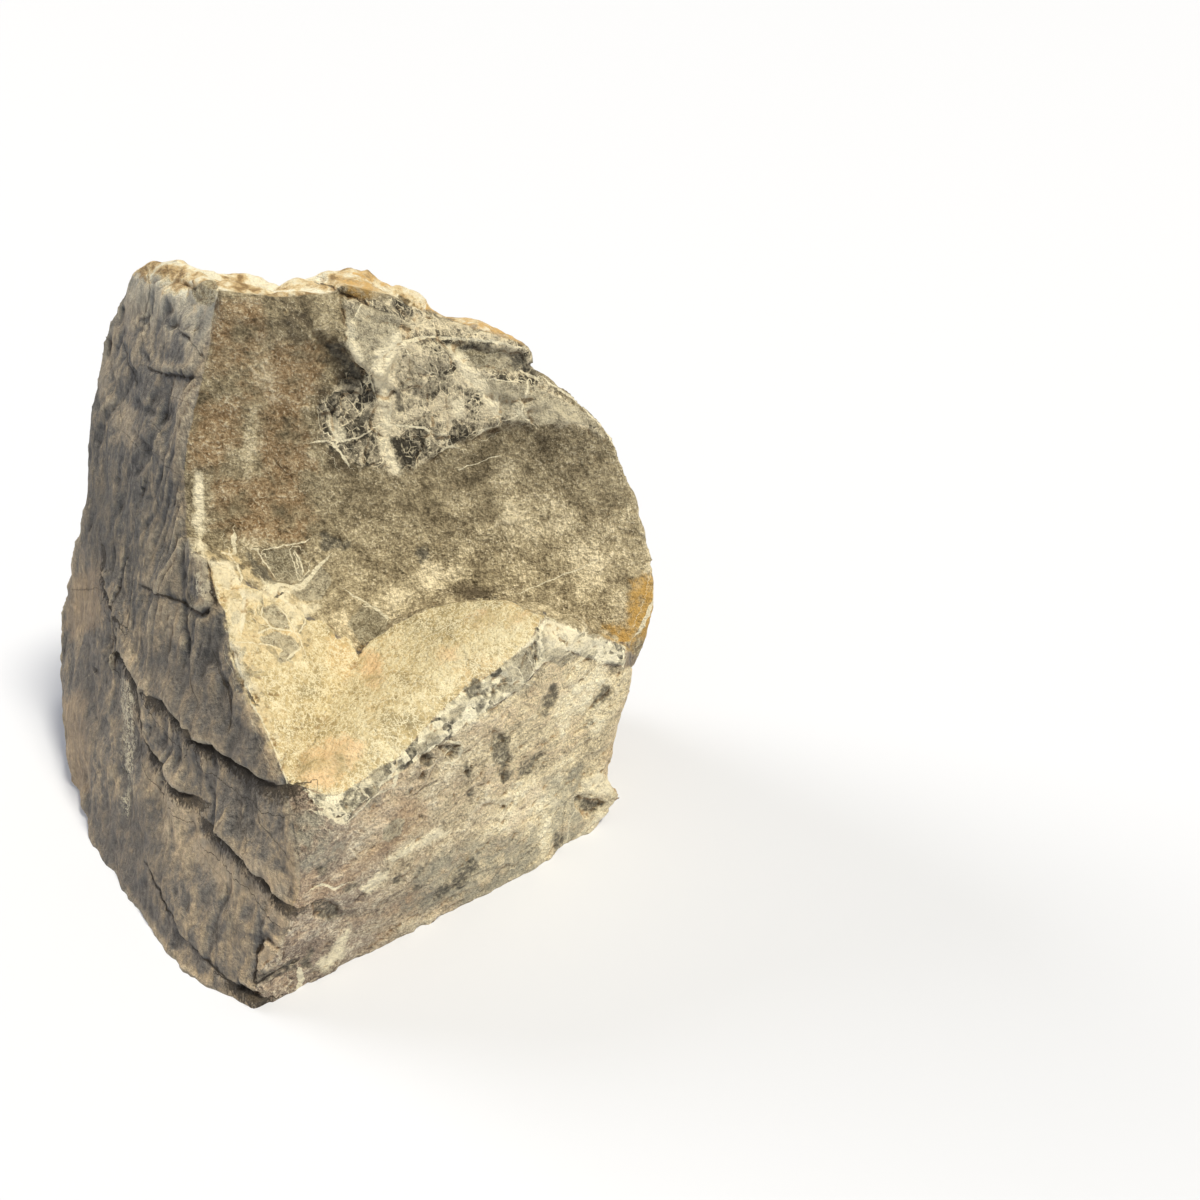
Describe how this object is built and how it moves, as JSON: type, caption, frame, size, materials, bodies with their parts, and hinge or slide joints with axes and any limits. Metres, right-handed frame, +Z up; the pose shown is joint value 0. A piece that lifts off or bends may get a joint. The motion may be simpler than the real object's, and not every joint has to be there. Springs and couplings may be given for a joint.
{
  "type": "aquascaping rock",
  "caption": "Angular block of grey-brown limestone with a flat underside, a scooped broken hollow over a sloping ledge, and a creased left face",
  "frame": {"origin": "middle of the underside, the centre of the bounding box at floor height", "axes": "+Z up, +X to the right and +Y to the back as the broken hollow is seen from the front"},
  "size_m": [0.2026, 0.1643, 0.1754],
  "materials": {
    "limestone": "rough broken limestone with a yellow-brown weathered skin"
  },
  "bodies": {
    "root": {"stone": "limestone"}
  },
  "joints": []
}
